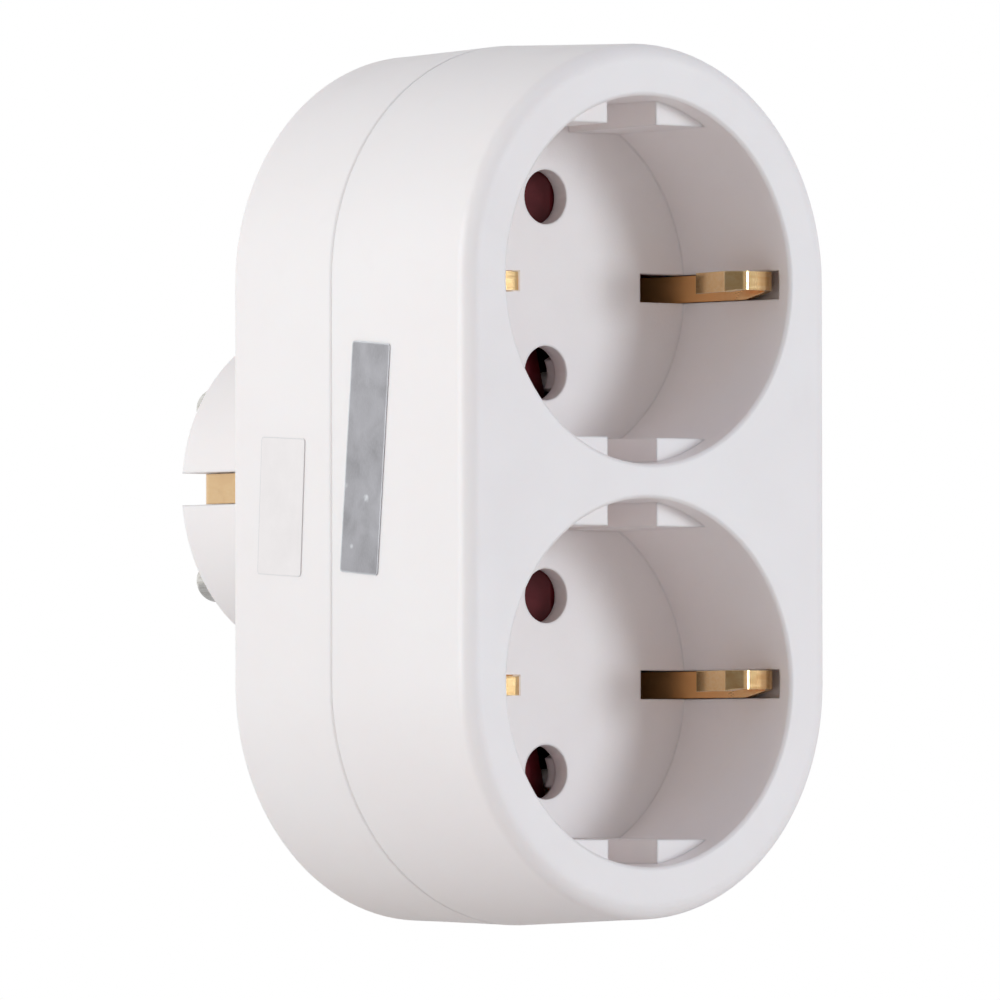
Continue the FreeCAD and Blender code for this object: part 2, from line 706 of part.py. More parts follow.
def spring(label, centre):
    """A torsion spring round the shutter's post. One leg rests on the shutter's peg, one on the fixed peg."""
    wire, coil, pitch, front = (value(text) for text in ("wire_radius", COIL_RADIUS, "coil_pitch", COIL_FRONT))
    beside = coil + wire + value("peg_radius + seat_clearance")
    moving_reach, fixed_reach = value("hub_radius + peg_radius"), value("fixed_peg_radius")
    # Angles run clockwise from up as seen from the front, as the shutter turns when it opens.
    moving_angle = math.radians(-value("peg_angle")) - math.acos(beside / moving_reach)
    fixed_angle = math.radians(value("fixed_peg_angle")) + math.acos(beside / fixed_reach)
    sweep = (moving_angle - fixed_angle) % (2 * math.pi) + 2 * math.pi * (value("coil_turns") - 1)
    rise = pitch * sweep / (2 * math.pi)

    def on_coil(share):
        """A point on the coil, from its front end at share 0 to its back end at share 1."""
        angle = moving_angle - share * sweep
        return Vector(coil * math.sin(angle), front + share * rise, coil * math.cos(angle))

    def heading(share):
        """The direction of the wire at that point of the coil."""
        angle = moving_angle - share * sweep
        return Vector(-coil * sweep * math.cos(angle), rise, coil * sweep * math.sin(angle)).normalize()

    def leg_length(reach):
        return math.sqrt(reach ** 2 - beside ** 2) + 4 * wire

    count = math.ceil(sweep / math.pi)
    arcs = []
    for number in range(count):
        ends = (number / count, (number + 1) / count)
        arcs += smooth_arcs(*(on_coil(share) for share in ends), *(heading(share) for share in ends))
    start = on_coil(0) - heading(0) * leg_length(moving_reach)
    moving_leg = Part.makeLine(start, on_coil(0))
    fixed_leg = Part.makeLine(on_coil(1), on_coil(1) + heading(1) * leg_length(fixed_reach))
    section = Part.Face(Part.Wire(Part.makeCircle(wire, start, heading(0))))
    item = doc.addObject("Part::Feature", label)
    item.Label = label
    item.Shape = Part.Wire([moving_leg] + arcs + [fixed_leg]).makePipe(section)
    item.Placement = Placement(Vector(0, -value(PLUG_END), value(centre)), Rotation())
    return item


def rod(name, radius, depth, length, across="0", up="0"):
    """A round bar whose axis runs from the front towards the wall."""
    item = doc.addObject("Part::Cylinder", name)
    item.setExpression("Radius", cell(radius))
    item.setExpression("Height", cell(length))
    item.Placement = Placement(Vector(0, 0, 0), Rotation(Vector(1, 0, 0), -90))
    item.setExpression("Placement.Base.x", cell(across))
    item.setExpression("Placement.Base.y", cell(f"{depth} - {PLUG_END}"))
    item.setExpression("Placement.Base.z", cell(up))
    return item


def block(name, low, size):
    """A box from its low corner, given in the adapter's own frame with depth in place of Y."""
    item = doc.addObject("Part::Box", name)
    for property_name, text in zip(("Length", "Width", "Height"), size):
        item.setExpression(property_name, cell(text))
    item.setExpression("Placement.Base.x", cell(low[0]))
    item.setExpression("Placement.Base.y", cell(f"{low[1]} - {PLUG_END}"))
    item.setExpression("Placement.Base.z", cell(low[2]))
    return item


def fused(label, items):
    item = doc.addObject("Part::MultiFuse", label)
    item.Label = label
    item.Shapes = items
    return item


def cut_away(name, base, tool):
    item = doc.addObject("Part::Cut", name)
    item.Base = base
    item.Tool = tool
    return item


def shutter_retainers():
    """Push-on washers at the ends of both shutter posts."""
    washers = []
    for number, centre in enumerate(SOCKET_CENTRES):
        disc = rod(f"washer_disc_{number}", "washer_radius", WASHER_FRONT, "washer_thickness", up=centre)
        hole = rod(f"washer_hole_{number}", "post_radius", WASHER_FRONT, "washer_thickness", up=centre)
        washers.append(cut_away(f"washer_{number}", disc, hole))
    return fused("shutter_retainers", washers)


def earth_bracket(label, centre):
    """One strip bent into a base behind the well and two side clips that fold over into the socket."""
    body = new_body(label)

    profile = depth_sketch(body, label + "_base_outline", EARTH_FRONT)
    half, narrow, shoulder = "bracket_width / 2", "clip_width / 2", f"({CLIP_OUTER} - bracket_taper)"
    outline(profile, [
        (f"-{CLIP_OUTER}", f"-{narrow}"), (f"-{shoulder}", f"-{half}"),
        (shoulder, f"-{half}"), (CLIP_OUTER, f"-{narrow}"),
        (CLIP_OUTER, narrow), (shoulder, half),
        (f"-{shoulder}", half), (f"-{CLIP_OUTER}", narrow),
    ])
    for across in ("link_offset", "-link_offset"):
        circle(profile, across, "0", "rivet_radius + seat_clearance")
    pad_back(body, label + "_base", profile, "strip_thickness")

    inner = f"({CLIP_OUTER} - strip_thickness)"
    nose, tip = f"({CLIP_OUTER} - clip_reach)", f"({CLIP_OUTER} - clip_tip_reach)"
    roof, thick, radius = "clip_roof_depth", "strip_thickness", "clip_nose_bend"
    bend_x, bend_y = f"({CLIP_OUTER} - clip_bend)", "(clip_roof_depth + clip_bend)"
    # The nose's slope is tangent to a bend that leads up to the roof.
    across, deeper = "cos(clip_nose_angle)", "sin(clip_nose_angle)"
    curl_y = f"({roof} + {radius})"
    slope_depth = f"(clip_nose_depth - {curl_y} + {radius} * {deeper})"
    curl_x = f"({nose} + {radius} * {across} + {slope_depth} * tan(clip_nose_angle))"
    inside = f"({radius} - {thick})"
    profile = new_sketch(body, label + "_clip_outline", "XY_Plane")
    outline(profile, [
        (CLIP_OUTER, f"{EARTH_FRONT} + {thick}"),
        (inner, f"{EARTH_FRONT} + {thick}"),
        (inner, bend_y, bend_x, bend_y, -1),
        (bend_x, f"{roof} + {thick}"),
        (curl_x, f"{roof} + {thick}", curl_x, curl_y, -1),
        (f"{curl_x} - {inside} * {across}", f"{curl_y} - {inside} * {deeper}"),
        (f"{nose} + {thick}", f"clip_nose_depth + {thick} * tan(clip_nose_angle / 2)"),
        (f"{tip} + {thick}", "clip_tip_depth"),
        (tip, "clip_tip_depth"),
        (nose, "clip_nose_depth"),
        (f"{curl_x} - {radius} * {across}", f"{curl_y} - {radius} * {deeper}", curl_x, curl_y, 1),
        (curl_x, roof),
        (bend_x, roof, bend_x, bend_y, 1),
        (CLIP_OUTER, bend_y),
    ])
    clip = extrude(body, "Pad", label + "_clip", profile, "clip_width", both_ways=True)

    profile = depth_sketch(body, label + "_leaf_cut_outline", "0")
    rectangle(profile, f"{nose} - {thick}", bend_x, f"-{narrow} - {thick}", "-clip_leaf_drop")
    leaf_cut = cut_back(body, label + "_leaf_cut", profile, "clip_tip_depth + strip_thickness")
    profile = new_sketch(body, label + "_taper_outline", "YZ_Plane")
    outline(profile, [
        ("0", "-clip_roof_drop"), ("0", f"-{narrow} - {thick}"),
        ("clip_taper_depth", f"-{narrow} - {thick}"), ("clip_taper_depth", f"-{narrow}"),
        (f"{roof} + {thick}", "-clip_roof_drop"),
    ])
    taper = extrude(body, "Pocket", label + "_taper", profile, CLIP_OUTER + " + strip_thickness", True)
    polar_pair(body, label + "_clips", [clip, leaf_cut, taper])

    place(body, up=centre)
    return body


def earth_link():
    """A flat bar behind both earth brackets and the plug's earth strap."""
    body = new_body("earth_link")
    profile = depth_sketch(body, "link_outline", LINK_FRONT)
    half, reach = "link_width / 2", "(socket_spacing / 2 + link_overhang)"
    rectangle(profile, f"-link_offset - {half}", f"-link_offset + {half}", f"-{reach}", reach)
    for up in SOCKET_CENTRES + ("0",):
        circle(profile, "-link_offset", up, "rivet_radius + seat_clearance")
    pad_back(body, "link_bar", profile, "link_thickness")
    place(body)
    return body


def earth_rivets():
    """Rivets that join both brackets and the strap to the link."""
    rivets = []
    front = f"({EARTH_FRONT} - rivet_head_height)"
    for number, up in enumerate(SOCKET_CENTRES + ("0",)):
        across = "-link_offset"
        shank = rod(f"rivet_shank_{number}", "rivet_radius", front,
                    f"{COVER_FRONT} - {EARTH_FRONT} + 2 * rivet_head_height", across, up)
        heads = [
            rod(f"rivet_head_{number}_{place_name}", "rivet_head_radius", depth, "rivet_head_height", across, up)
            for place_name, depth in (("front", front), ("back", COVER_FRONT))
        ]
        rivets += [shank] + heads
    return fused("earth_rivets", rivets)


def plug_earth_strap():
    """One strip bent into a base behind the plug and two side contacts that curl in at the plug's end."""
    body = new_body("plug_earth_strap")
    half, narrow, thick = "bracket_width / 2", "strap_width / 2", "strip_thickness"
    shoulder = f"({STRAP_OUTER} - strap_curl)"
    profile = depth_sketch(body, "strap_base_outline", EARTH_FRONT)
    outline(profile, [
        (f"-{STRAP_OUTER}", f"-{narrow}"), (f"-{shoulder}", f"-{half}"),
        (shoulder, f"-{half}"), (STRAP_OUTER, f"-{narrow}"),
        (STRAP_OUTER, narrow), (shoulder, half),
        (f"-{shoulder}", half), (f"-{STRAP_OUTER}", narrow),
    ])
    circle(profile, "-link_offset", "0", "rivet_radius + seat_clearance")
    pad_back(body, "strap_base", profile, thick)

    end = f"({PLUG_END} - strap_end_gap)"
    inner = f"({STRAP_OUTER} - {thick})"
    curl_y = f"({end} - strap_curl)"
    profile = new_sketch(body, "strap_leg_outline", "XY_Plane")
    outline(profile, [
        (STRAP_OUTER, EARTH_FRONT),
        (STRAP_OUTER, curl_y, shoulder, curl_y, 1),
        (shoulder, end),
        (f"{shoulder} - strap_curl_length", end),
        (f"{shoulder} - strap_curl_length", f"{end} - {thick}"),
        (shoulder, f"{end} - {thick}", shoulder, curl_y, -1),
        (inner, curl_y),
        (inner, EARTH_FRONT),
    ])
    leg = extrude(body, "Pad", "strap_leg", profile, "strap_width", both_ways=True)
    mirror = body.newObject("PartDesign::Mirrored", "strap_legs")
    mirror.Originals = [leg]
    mirror.MirrorPlane = (origin_feature(body, "YZ_Plane"), [""])
    body.Tip = mirror
    doc.recompute()
    place(body)
    return body


def busbar(label, turn):
    """A flat bar with two pin contacts, one for each socket, and a tab that is riveted to a plug pin."""
    body = new_body(label)
    inner, outer = "bar_inner", "(bar_inner + bar_width)"
    high, low = f"(socket_spacing / 2 + {HOLE_OFFSET})", f"(-socket_spacing / 2 + {HOLE_OFFSET})"
    half, side = "contact_height / 2", "contact_half_width"
    profile = depth_sketch(body, label + "_bar_outline", BAR_FRONT)
    outline(profile, [
        (outer, f"{low} - {half}"), (outer, f"{high} + {half}"),
        (f"-{side}", f"{high} + {half}"), (f"-{side}", f"{high} - {half}"),
        (inner, f"{high} - {half}"), (inner, f"{low} + {half}"),
        (f"-{side}", f"{low} + {half}"), (f"-{side}", f"{low} - {half}"),
    ])
    pad_back(body, label + "_bar", profile, "bar_thickness")

    thick = "leaf_thickness"
    root = f"({BAR_FRONT} - leaf_root_length)"
    mouth = f"({BAR_FRONT} - leaf_length)"
    pinch = f"({mouth} + leaf_mouth_length)"
    foot = f"(contact_half_width - {thick})"
    for contact, up in (("upper", high), ("lower", low)):
        profile = new_sketch(body, f"{label}_{contact}_leaf_outline", "XY_Plane", up)
        for hand in ("", "-"):
            outline(profile, [
                (f"{hand}{foot}", BAR_FRONT), (f"{hand}{foot}", root),
                (f"{hand}leaf_pinch", pinch), (f"{hand}leaf_mouth", mouth),
                (f"{hand}(leaf_mouth + {thick})", mouth), (f"{hand}(leaf_pinch + {thick})", pinch),
                (f"{hand}({foot} + {thick})", root), (f"{hand}({foot} + {thick})", BAR_FRONT),
            ])
        extrude(body, "Pad", f"{label}_{contact}_leaves", profile, "leaf_width", both_ways=True)

    tab_back = f"({TAB_FRONT} + bar_thickness)"
    profile = new_sketch(body, label + "_tab_outline", "XY_Plane", HOLE_OFFSET)
    outline(profile, [
        (inner, BAR_FRONT), (f"{inner} + bar_thickness", BAR_FRONT),
        (f"{inner} + bar_thickness", tab_back), ("-tab_reach", tab_back),
        ("-tab_reach", TAB_FRONT), (inner, TAB_FRONT),
    ])
    extrude(body, "Pad", label + "_tab", profile, "tab_width", both_ways=True)
    profile = depth_sketch(body, label + "_tab_hole_outline", TAB_FRONT)
    circle(profile, "0", HOLE_OFFSET, "neck_radius + seat_clearance")
    cut_back(body, label + "_tab_hole", profile, "bar_thickness")

    place(body, turn=turn)
    return body


def busbar_cover():
    """An insulating plate over the busbars, with windows for the pin contacts."""
    body = new_body("busbar_cover")
    profile = depth_sketch(body, "cover_outline", COVER_FRONT)
    stadium(profile, "cover_width / 2", "cover_height / 2")
    for centre in SOCKET_CENTRES:
        for side in (1, -1):
            up = f"{centre} + {side} * {HOLE_OFFSET}"
            across, half = "(contact_half_width + cover_clearance)", "(contact_height / 2 + cover_clearance)"
            rectangle(profile, f"-{across}", across, f"{up} - {half}", f"{up} + {half}")
    for up in SOCKET_CENTRES + ("0",):
        circle(profile, "-link_offset", up, "rivet_head_radius + seat_clearance * 4")
    pad_back(body, "cover_plate", profile, "cover_thickness")

    profile = depth_sketch(body, "cover_notch_outline", COVER_FRONT)
    inner, outer = f"({STRAP_OUTER} - strip_thickness - seat_clearance * 4)", "cover_width / 2 + strip_thickness"
    half = "(strap_width / 2 + cover_clearance)"
    rectangle(profile, inner, outer, f"-{half}", half)
    rectangle(profile, f"-({outer})", f"-{inner}", f"-{half}", half)
    cut_back(body, "cover_notches", profile, "cover_thickness")

    profile = depth_sketch(body, "cover_rib_outline", COVER_BACK)
    middle, half = "(bar_inner + bar_width / 2)", "cover_rib_width / 2"
    for side in ("", "-"):
        centre = f"{side}{middle}"
        rectangle(profile, f"{centre} - {half}", f"{centre} + {half}", "-cover_rib_length / 2", "cover_rib_length / 2")
    pad_back(body, "cover_ribs", profile, "cover_rib_height")
    place(body)
    return body


def plug_pin(label, up):
    """A turned pin with a rounded tip, a collar that stops it in its boss and a riveted neck."""
    body = new_body(label)
    tip, end = f"({PLUG_END} + pin_length)", f"({PLUG_END} + pin_length - pin_radius)"
    head_front = f"({TAB_FRONT} - rivet_head_height)"
    collar_front = f"({COLLAR_BACK} - collar_thickness)"
    profile = new_sketch(body, label + "_outline", "XY_Plane")
    outline(profile, [
        ("0", head_front), ("rivet_head_radius", head_front), ("rivet_head_radius", TAB_FRONT),
        ("neck_radius", TAB_FRONT), ("neck_radius", collar_front), ("collar_radius", collar_front),
        ("collar_radius", COLLAR_BACK), ("pin_root_radius", COLLAR_BACK),
        ("pin_root_radius", PLUG_END), ("pin_radius", PLUG_END),
        ("pin_radius", end, "0", end, 1),
        ("0", tip),
    ])
    turned = body.newObject("PartDesign::Revolution", label + "_turned")
    turned.Profile = profile
    turned.ReferenceAxis = (profile, ["V_Axis"])
    turned.Angle = 360
    profile.Visibility = False
    doc.recompute()
    place(body, up=up)
    return body


def housing_screws():
    """Two screws that come in from the wall side and hold the shells together."""
    screws = []
    head = f"({BODY_DEPTH} - screw_sink - screw_head_height)"
    cross = f"({BODY_DEPTH} - screw_sink - screw_cross_depth)"
    for number, up in enumerate(("screw_offset", "-screw_offset")):
        shank = rod(f"screw_shank_{number}", "screw_radius", "screw_end_depth", f"{head} - screw_end_depth", up=up)
        cap = rod(f"screw_head_{number}", "screw_head_radius", head, "screw_head_height", up=up)
        wide, long = "screw_cross_width", "screw_cross_length"
        arms = [
            block(f"screw_cross_{number}_{name}", (f"-{across} / 2", cross, f"{up} - {tall} / 2"),
                  (across, "screw_cross_depth", tall))
            for name, across, tall in (("flat", long, wide), ("upright", wide, long))
        ]
        drive = fused(f"screw_drive_{number}", arms)
        slotted = cut_away(f"screw_slotted_head_{number}", cap, drive)
        screws += [shank, slotted]
    return fused("housing_screws", screws)


def label_plate(label, width, length, depth, up, tilt, wall_turn, wall_across):
    """A thin label on the left side wall; wall_turn is the wall's draft."""
    body = new_body(label)
    profile = new_sketch(body, label + "_outline", "YZ_Plane")
    half, tall, corner = f"{width} / 2", f"{length} / 2", "label_corner"
    inner_half, inner_tall = f"({half} - {corner})", f"({tall} - {corner})"
    outline(profile, [
        (half, f"-{inner_tall}"), (half, inner_tall, inner_half, inner_tall, 1),
        (inner_half, tall), (f"-{inner_half}", tall, f"-{inner_half}", inner_tall, 1),
        (f"-({half})", inner_tall), (f"-({half})", f"-{inner_tall}", f"-{inner_half}", f"-{inner_tall}", 1),
        (f"-{inner_half}", f"-({tall})"), (inner_half, f"-({tall})", inner_half, f"-{inner_tall}", 1),
    ])
    extrude(body, "Pad", label + "_sheet", profile, "label_thickness", True)
    turn = Rotation(Vector(0, 0, 1), value(wall_turn)) * Rotation(Vector(1, 0, 0), value(tilt))
    body.Placement = Placement(Vector(0, 0, 0), turn)
    body.setExpression("Placement.Base.x", cell(wall_across))
    body.setExpression("Placement.Base.y", cell(f"{depth} - {PLUG_END}"))
    body.setExpression("Placement.Base.z", cell(up))
    return body


def labels():
    foil = label_plate("foil_label", "foil_width", "foil_length", "foil_depth", "foil_height", "foil_tilt",
                       "front_draft", "-(body_width / 2 - (front_depth - foil_depth) * tan(front_draft))")
    paper = label_plate("paper_label", "paper_width", "paper_length", "paper_depth", "paper_height", "paper_tilt",
                        "-rear_draft", "-(body_width / 2 - (paper_depth - front_depth) * tan(rear_draft))")
    return [foil, paper]


def build():
    upper, lower = SOCKET_CENTRES
    return [
        front_housing(),
        rear_housing(),
        shutter("shutter_upper", upper),
        shutter("shutter_lower", lower),
        spring("shutter_spring_upper", upper),
        spring("shutter_spring_lower", lower),
        shutter_retainers(),
        earth_bracket("earth_bracket_upper", upper),
        earth_bracket("earth_bracket_lower", lower),
        earth_link(),
        earth_rivets(),
        plug_earth_strap(),
        busbar("live_busbar", 0),
        busbar("neutral_busbar", 180),
        busbar_cover(),
        plug_pin("plug_pin_upper", HOLE_OFFSET),
        plug_pin("plug_pin_lower", f"-{HOLE_OFFSET}"),
        housing_screws(),
    ] + labels()


def check(sub_parts):
    """Stops before anything is written if an object failed or a sub-part's shape isn't sound."""
    for item in doc.Objects:
        if {"Invalid", "Error"} & set(item.State):
            raise ValueError(f"{item.Name} failed: {item.State}")
    for item in sub_parts:
        if item.Shape.isNull() or not item.Shape.isValid() or not item.Shape.Solids:
            raise ValueError(f"{item.Label} has no sound shape")


sub_parts = build()
doc.recompute()
check(sub_parts)
os.makedirs("parts", exist_ok=True)
for item in sub_parts:
    item.Shape.exportStep(f"parts/{item.Label}.step")
    print(item.Label, len(item.Shape.Solids), "solid(s)", round(item.Shape.Volume, 1), "mm3")
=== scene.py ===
import json
import math

import bpy
from mathutils import Matrix, Vector


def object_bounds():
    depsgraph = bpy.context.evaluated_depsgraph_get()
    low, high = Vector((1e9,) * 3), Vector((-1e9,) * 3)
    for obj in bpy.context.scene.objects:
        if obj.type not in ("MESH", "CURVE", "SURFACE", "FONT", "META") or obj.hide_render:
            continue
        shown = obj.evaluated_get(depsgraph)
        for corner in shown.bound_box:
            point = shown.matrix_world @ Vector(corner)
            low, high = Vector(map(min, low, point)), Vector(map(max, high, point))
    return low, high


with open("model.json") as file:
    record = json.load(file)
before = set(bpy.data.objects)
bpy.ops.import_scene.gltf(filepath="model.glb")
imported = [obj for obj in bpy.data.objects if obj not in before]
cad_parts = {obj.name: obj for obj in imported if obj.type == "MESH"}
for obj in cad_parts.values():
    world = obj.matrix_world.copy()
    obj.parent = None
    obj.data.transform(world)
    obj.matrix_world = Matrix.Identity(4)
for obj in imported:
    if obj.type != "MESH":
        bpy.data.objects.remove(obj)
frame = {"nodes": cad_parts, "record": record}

# Looks of a white twin socket adapter: moulded plastic shells, brass contacts, nickel-plated pins,
# dark red shutters and two bare labels. Lengths are in metres.

cad_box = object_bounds()
nodes = frame["nodes"]

MM = 0.001
FLOOR_GAP = 14.5 * MM
# The adapter's middle, and the directions from it to its front and to the photographer.
MIDDLE = (0, -30 * MM, 0)
FRONT = (0, -1, 0)
PHOTOGRAPHER = (-0.788, -0.616, 0)


class Nodes:
    """A shader's node tree, with short ways to add nodes to it."""

    def __init__(self, tree):
        self.tree = tree

    def node(self, kind, inputs=None, **settings):
        made = self.tree.nodes.new("ShaderNode" + kind)
        for setting, value in settings.items():
            setattr(made, setting, value)
        for socket, value in (inputs or {}).items():
            self.feed(made.inputs[socket], value)
        return made

    def feed(self, target, value):
        """Links an output to this input, or sets the input to a number or colour."""
        if isinstance(value, bpy.types.NodeSocket):
            self.tree.links.new(value, target)
        else:
            target.default_value = value

    def ranged(self, value, low, high, new_low, new_high):
        """new_low where the value is low, new_high where it is high, and a straight run between them."""
        inputs = {"Value": value, "From Min": low, "From Max": high, "To Min": new_low, "To Max": new_high}
        return self.node("MapRange", inputs, clamp=True).outputs["Result"]

    def maths(self, operation, first, second=0.0):
        return self.node("Math", {0: first, 1: second}, operation=operation).outputs[0]

    def agreement(self, first, second):
        """1 where two directions are the same, 0 where they are square and -1 where they are opposite."""
        return self.node("VectorMath", {0: first, 1: second}, operation="DOT_PRODUCT").outputs["Value"]


class Shader(Nodes):
    """A material whose colour, roughness and relief come from procedural textures."""

    def __init__(self, name, **sockets):
        self.material = bpy.data.materials.new(name)
        self.material.use_nodes = True
        super().__init__(self.material.node_tree)
        self.principled = self.tree.nodes["Principled BSDF"]
        for socket, value in sockets.items():
            self.principled.inputs[socket.replace("_", " ")].default_value = value
        self.place = self.node("TexCoord").outputs["Object"]

    def stretched(self, scale):
        """The object's coordinates, scaled along each axis."""
        return self.node("Mapping", {"Vector": self.place, "Scale": scale}).outputs["Vector"]

    def noise(self, size, detail=3.0, place=None, distortion=0.0):
        """Noise whose features are about this size."""
        inputs = {"Vector": place or self.place, "Scale": 1 / size}
        inputs.update({"Detail": detail, "Distortion": distortion})
        return self.node("TexNoise", inputs).outputs["Fac"]

    def spots(self, size, edge):
        """1 in scattered spots and 0 elsewhere; edge is how much of each cell a spot fills."""
        cell = self.node("TexVoronoi", {"Vector": self.place, "Scale": 1 / size})
        return self.ranged(cell.outputs["Distance"], edge, edge * 0.5, 0, 1)

    def mixed(self, share, first, second):
        """first where share is 0 and second where it is 1."""
        made = self.node("Mix", data_type="RGBA")
        for socket, value in (("Factor_Float", share), ("A_Color", first), ("B_Color", second)):
            self.feed(next(item for item in made.inputs if item.identifier == socket), value)
        return next(item for item in made.outputs if item.identifier == "Result_Color")

    def rounded(self, width):
        """The surface's normal with its edges rounded by this much."""
        return self.node("Bevel", {"Radius": width}, samples=4).outputs["Normal"]

    def edges(self, rounded):
        """1 on edges and 0 on flat surfaces."""
        flat = self.node("NewGeometry").outputs["Normal"]
        return self.ranged(self.agreement(rounded, flat), 0.995, 0.85, 0, 1)

    def relief(self, height, depth, below=None):
        """Bumps from a height texture, over the normal below it."""
        inputs = {"Height": height, "Distance": depth, "Strength": 1.0}
        if below:
            inputs["Normal"] = below
        return self.node("Bump", inputs).outputs["Normal"]

    def link(self, output, socket):
        self.tree.links.new(output, self.principled.inputs[socket])


def moulded_white():
    """Satin white plastic with a fine spark grain, stronger on the faces towards the front."""
    shader = Shader("moulded_white", IOR=1.5, Subsurface_Scale=1.5 * MM, Subsurface_Weight=0.15)
    shader.principled.inputs["Subsurface Radius"].default_value = (1.0, 0.7, 0.55)
    tone = shader.noise(30 * MM, 2.0)
    flow = shader.noise(6 * MM, 4.0, distortion=0.6)
    patches = shader.ranged(tone, 0.35, 0.65, 0, 1)
    base = shader.mixed(patches, (0.87, 0.802, 0.787, 1), (0.88, 0.82, 0.806, 1))
    base = shader.mixed(shader.ranged(flow, 0.62, 0.8, 0, 0.35), base, (0.84, 0.77, 0.755, 1))
    rounded = shader.rounded(0.4 * MM)
    worn = shader.maths("MULTIPLY", shader.edges(rounded), shader.ranged(flow, 0.35, 0.7, 0.1, 0.5))
    shader.link(shader.mixed(worn, base, (0.89, 0.845, 0.835, 1)), "Base Color")
    facing = shader.agreement(shader.node("NewGeometry").outputs["Normal"], FRONT)
    front = shader.ranged(facing, 0.6, 0.95, 0.25, 1)
    satin = shader.ranged(flow, 0.3, 0.7, 0.36, 0.44)
    shader.link(shader.maths("ADD", satin, shader.maths("MULTIPLY", front, 0.1)), "Roughness")
    grain = shader.maths("MULTIPLY", shader.noise(0.28 * MM, 2.0), front)
    waves = shader.relief(shader.noise(14 * MM, 1.0), 0.06 * MM, rounded)
    shader.link(shader.relief(grain, 0.012 * MM, waves), "Normal")
    return shader.material


def shutter_red():
    """Smooth dark red plastic with faint flow marks and paler edges."""
    shader = Shader("shutter_red", IOR=1.45, Specular_IOR_Level=0.35)
    flow = shader.noise(2.5 * MM, 3.0, distortion=0.5)
    rounded = shader.rounded(0.15 * MM)
    base = shader.mixed(shader.ranged(flow, 0.3, 0.7, 0, 1), (0.11, 0.01, 0.014, 1), (0.15, 0.015, 0.02, 1))
    shader.link(shader.mixed(shader.edges(rounded), base, (0.24, 0.045, 0.05, 1)), "Base Color")
    shader.link(shader.ranged(flow, 0.3, 0.7, 0.34, 0.46), "Roughness")
    shader.link(shader.relief(shader.noise(0.3 * MM, 2.0), 0.01 * MM, rounded), "Normal")
    return shader.material


def rolled_brass():
    """Stamped brass strip: rolling marks along the strip, a little tarnish and brighter bent edges.

    The legs of the earth clips, deep in their slots at both sides, carry a painted reflection: they are
    duller and redder, standing in for warm light bounced about in the slots. The plug's contacts, behind the
    shells, are a little darker and greyer.
    """
    shader = Shader("rolled_brass")
    across, along, _ = shader.node("SeparateXYZ", {"Vector": shader.place}).outputs
    aside = shader.ranged(shader.maths("ABSOLUTE", across), 18.2 * MM, 18.6 * MM, 0, 1)
    behind = shader.maths("MULTIPLY", aside, shader.ranged(along, -54 * MM, -45 * MM, 0, 1))
    # Painted reflection: a mask over the clip legs deep in their slots, standing in for warm light bounced
    # about there.
    painted_slot_reflection = shader.maths("MULTIPLY", behind, shader.ranged(along, -30 * MM, -28 * MM, 1, 0))
    marks = shader.noise(0.5 * MM, 3.0, shader.stretched((0.15, 1, 2.2)))
    tarnish = shader.noise(3.5 * MM, 4.0, distortion=0.8)
    rounded = shader.rounded(0.15 * MM)
    base = shader.mixed(shader.ranged(marks, 0.35, 0.7, 0, 1), (0.91, 0.57, 0.25, 1), (0.95, 0.67, 0.35, 1))
    base = shader.mixed(shader.ranged(tarnish, 0.55, 0.75, 0, 0.55), base, (0.66, 0.33, 0.12, 1))
    base = shader.mixed(shader.edges(rounded), base, (0.95, 0.8, 0.54, 1))
    plug_contact = shader.ranged(along, -22 * MM, -19 * MM, 0, 0.6)
    base = shader.mixed(plug_contact, base, (0.62, 0.45, 0.28, 1))
    # Painted reflection: the legs get a redder, paler base, less metal and more roughness in place of bounced
    # light in the slots.
    shader.link(shader.mixed(painted_slot_reflection, base, (0.95, 0.47, 0.18, 1)), "Base Color")
    shader.link(shader.ranged(painted_slot_reflection, 0, 1, 0.8, 0.15), "Metallic")
    dulled = shader.ranged(tarnish, 0.3, 0.75, 0.06, 0.13)
    strip = shader.maths("ADD", dulled, shader.ranged(marks, 0.3, 0.7, 0, 0.05))
    shader.link(shader.maths("ADD", strip, shader.maths("MULTIPLY", painted_slot_reflection, 0.25)), "Roughness")
    shader.link(shader.relief(marks, 0.006 * MM, rounded), "Normal")
    return shader.material


def turned_nickel():
    """Nickel-plated pins with turning rings and insertion scratches along them."""
    shader = Shader("turned_nickel", Metallic=1.0)
    rings = shader.noise(0.35 * MM, 2.0, shader.stretched((0.02, 1, 0.02)))
    scratches = shader.noise(0.3 * MM, 3.0, shader.stretched((1, 0.04, 1)))
    base = shader.mixed(shader.ranged(scratches, 0.4, 0.72, 0, 1), (0.7, 0.69, 0.66, 1), (0.5, 0.48, 0.44, 1))
    shader.link(base, "Base Color")
    shader.link(shader.ranged(scratches, 0.3, 0.7, 0.16, 0.34), "Roughness")
    height = shader.maths("ADD", shader.maths("MULTIPLY", rings, 0.5), scratches)
    shader.link(shader.relief(height, 0.006 * MM, shader.rounded(0.1 * MM)), "Normal")
    return shader.material


def plated_steel():
    """Zinc-plated steel, cloudy, with brighter edges."""
    shader = Shader("plated_steel", Metallic=1.0)
    cloud = shader.noise(1.2 * MM, 4.0, distortion=0.4)
    rounded = shader.rounded(0.1 * MM)
    base = shader.mixed(shader.ranged(cloud, 0.35, 0.7, 0, 1), (0.62, 0.62, 0.63, 1), (0.44, 0.43, 0.41, 1))
    shader.link(shader.mixed(shader.edges(rounded), base, (0.78, 0.78, 0.78, 1)), "Base Color")
    shader.link(shader.ranged(cloud, 0.3, 0.7, 0.26, 0.44), "Roughness")
    shader.link(shader.relief(shader.noise(0.25 * MM, 2.0), 0.008 * MM, rounded), "Normal")
    return shader.material


